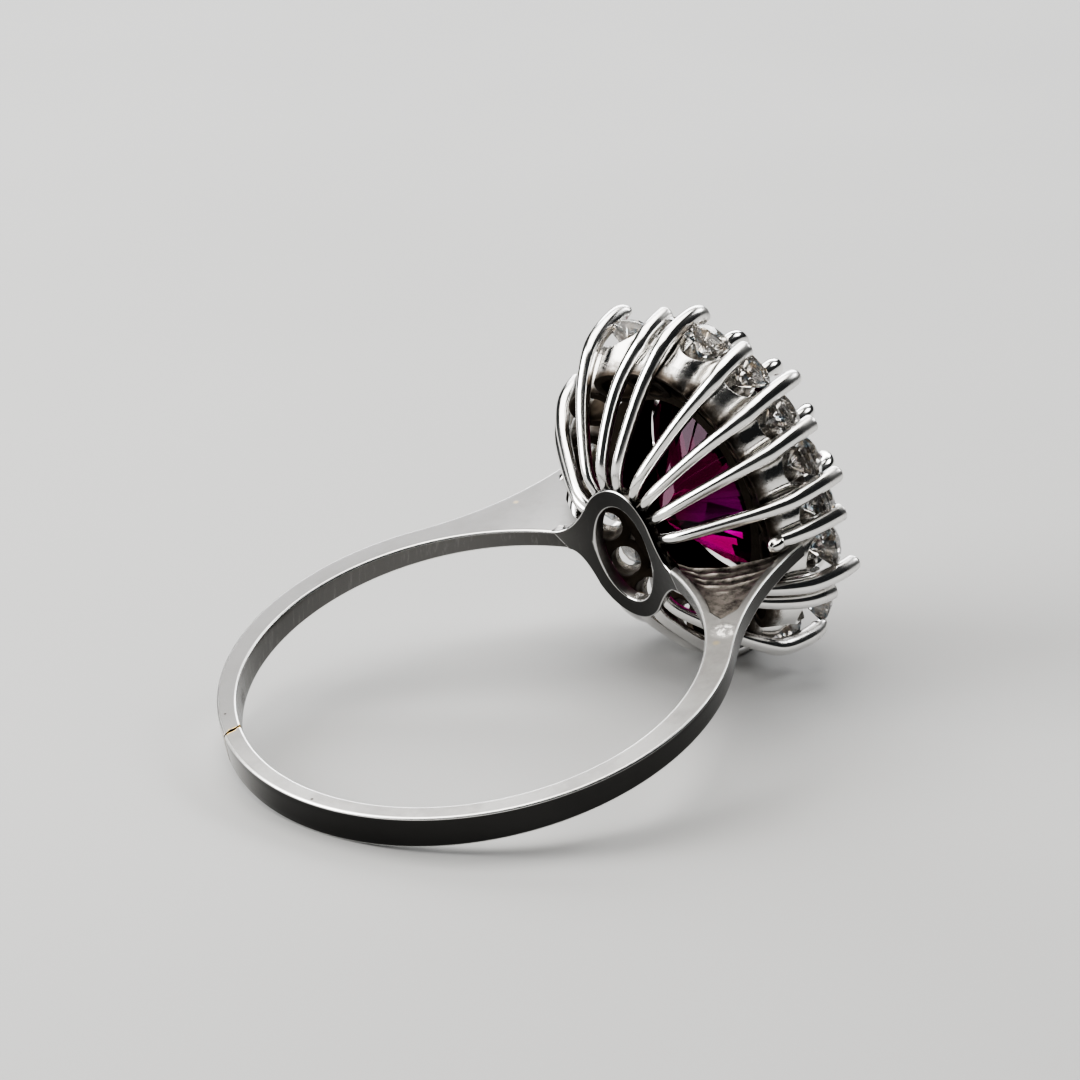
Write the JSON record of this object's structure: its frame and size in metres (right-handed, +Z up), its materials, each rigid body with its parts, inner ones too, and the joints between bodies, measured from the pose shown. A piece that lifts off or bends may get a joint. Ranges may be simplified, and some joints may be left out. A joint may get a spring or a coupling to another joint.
{
  "type": "gemstone cluster ring",
  "caption": "Cluster ring lying on its side: a large oval ruby over a border of small round diamonds, held by an open basket of wire claws on a thin forked band.",
  "frame": {"origin": "middle of the bounding box's footprint, on the surface that the ring lies on", "axes": "+Z up from that surface, +X towards the head and its stones, Y across the head; the finger's axis leans back from +Z by the resting tilt"},
  "size_m": [0.0257, 0.0188, 0.0144],
  "materials": {
    "white_metal": "polished white gold or platinum, worn, with fine scratches and dark tarnish in its corners",
    "ruby": "faceted and polished transparent red stone",
    "diamond": "faceted and polished clear stone with a frosted girdle"
  },
  "bodies": {
    "root": {"ring_mount": "white_metal", "ruby": "ruby", "diamond_01": "diamond", "diamond_02": "diamond", "diamond_03": "diamond", "diamond_04": "diamond", "diamond_05": "diamond", "diamond_06": "diamond", "diamond_07": "diamond", "diamond_08": "diamond", "diamond_09": "diamond", "diamond_10": "diamond", "diamond_11": "diamond", "diamond_12": "diamond", "diamond_13": "diamond", "diamond_14": "diamond", "diamond_15": "diamond", "diamond_16": "diamond", "diamond_17": "diamond", "diamond_18": "diamond"}
  },
  "joints": []
}
